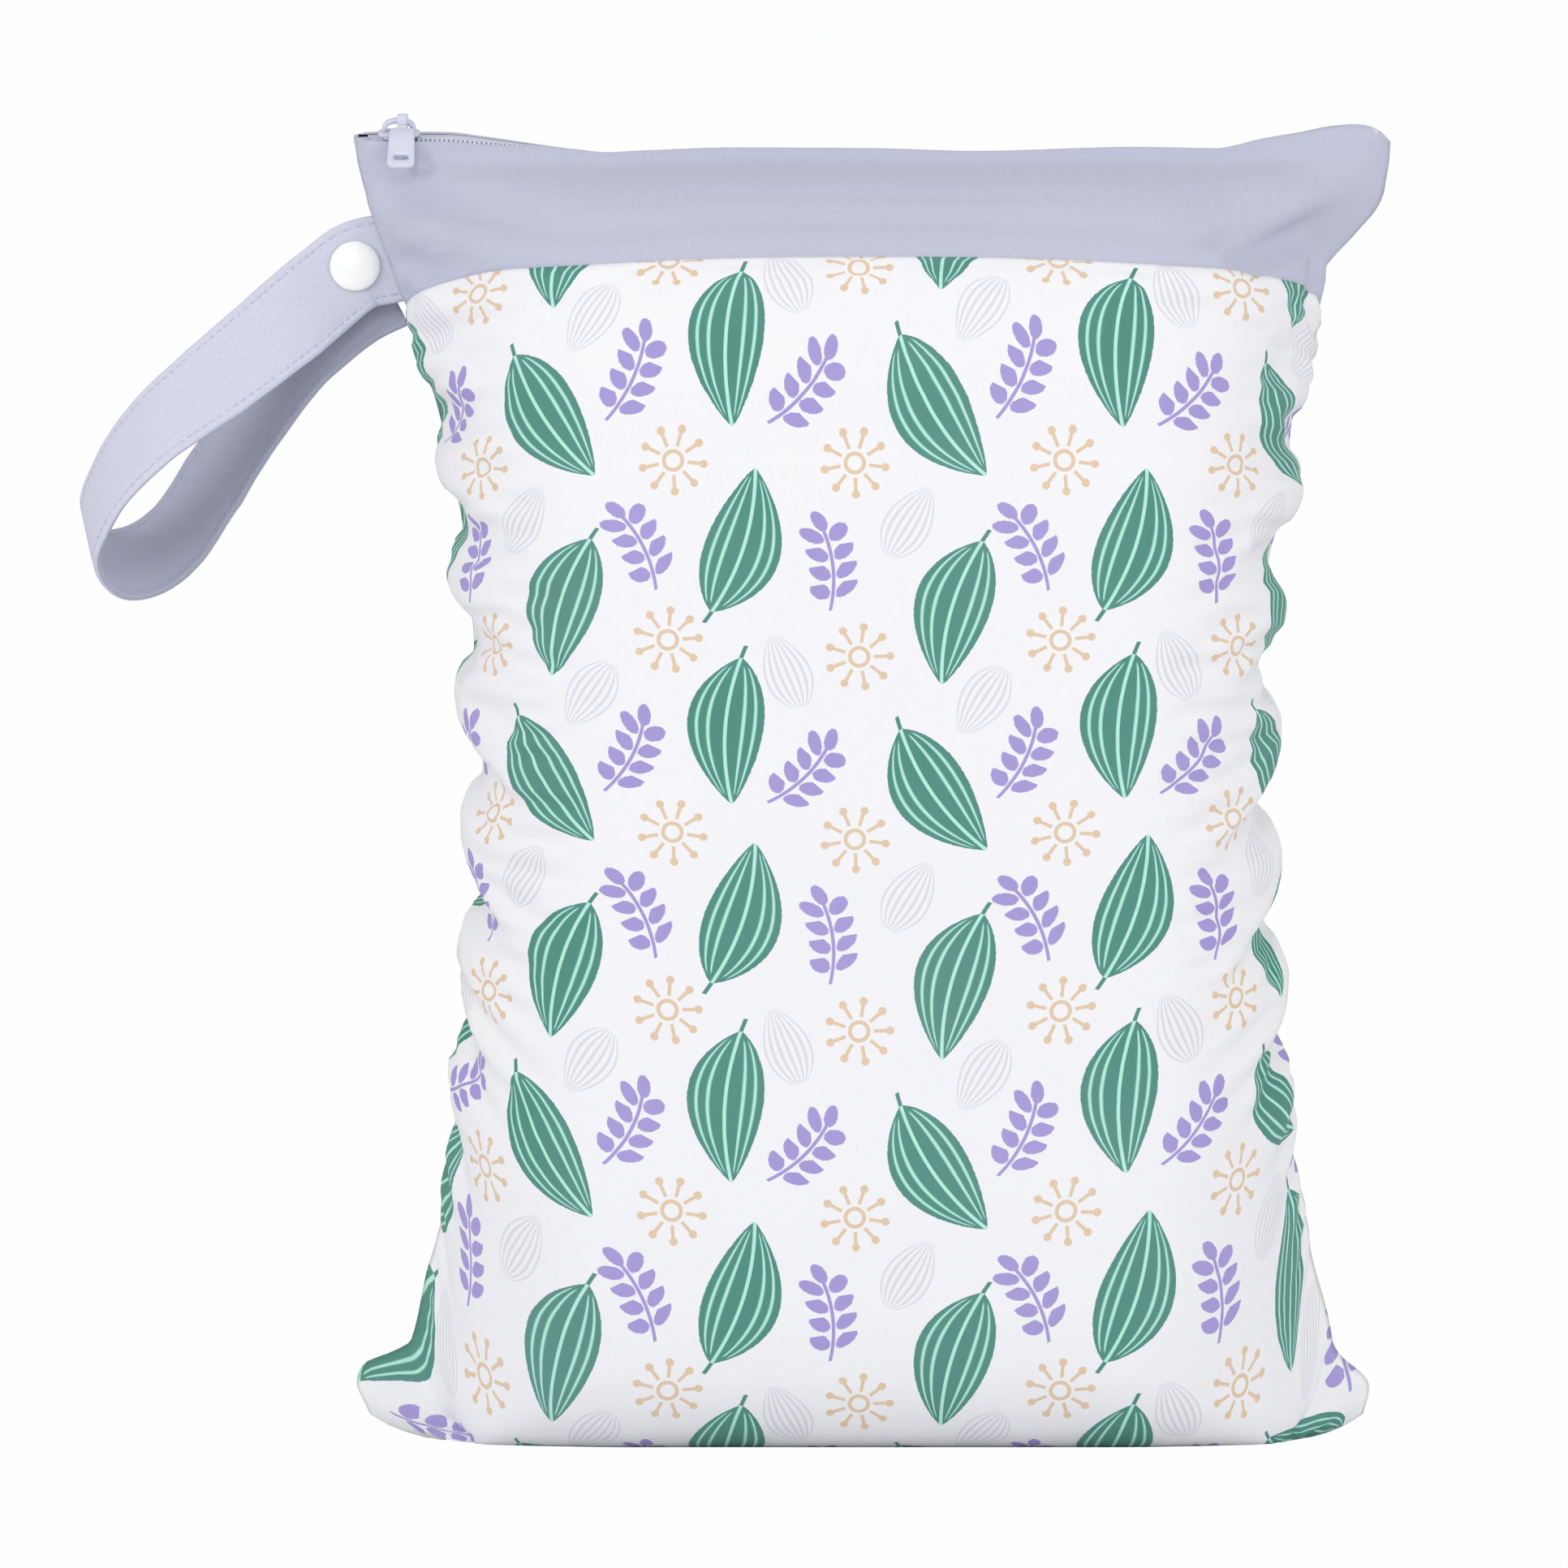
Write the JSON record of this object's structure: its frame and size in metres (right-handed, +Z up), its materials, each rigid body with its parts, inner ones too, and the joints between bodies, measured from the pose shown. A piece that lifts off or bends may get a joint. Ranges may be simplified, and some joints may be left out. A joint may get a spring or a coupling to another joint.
{
  "type": "cloth wet bag",
  "caption": "Stuffed zippered cloth wet bag, standing, with a leaf-printed body, a plain band, a swinging zipper pull and a snap strap loop at the side.",
  "frame": {"origin": "on the floor under the middle of the standing bag, centre of its flattened bottom", "axes": "+X to the right seen from the front, +Y to the back, +Z up to the zipper"},
  "size_m": [0.3785, 0.116, 0.382],
  "materials": {
    "printed_cloth": "smooth white laminated knit with a leaf print",
    "plain_cloth": "smooth lilac grey laminated knit",
    "zipper_tape": "woven tape",
    "zipper_teeth": "nylon coil",
    "slider_enamel": "painted in the cloth's colour",
    "strap_cloth": "folded and stitched cloth of the band",
    "snap_plastic": "white polished resin"
  },
  "bodies": {
    "bag": {"body_shell": "printed_cloth", "band_front": "plain_cloth", "band_back": "plain_cloth", "zipper_tape_front": "zipper_tape", "zipper_tape_back": "zipper_tape", "zipper_chain": "zipper_teeth", "zipper_slider": "slider_enamel", "strap_loop": "strap_cloth", "snap_cap_front": "snap_plastic", "snap_cap_back": "snap_plastic", "snap_core": "snap_plastic"},
    "pull": {"zipper_pull": "slider_enamel"}
  },
  "joints": [
    {"name": "pull_swing", "type": "hinge", "parent": "bag", "child": "pull", "pos_m": [-0.1347, -0.00161, 0.37987], "axis": [-1, 0, 0], "range_deg": [0, 240]}
  ]
}
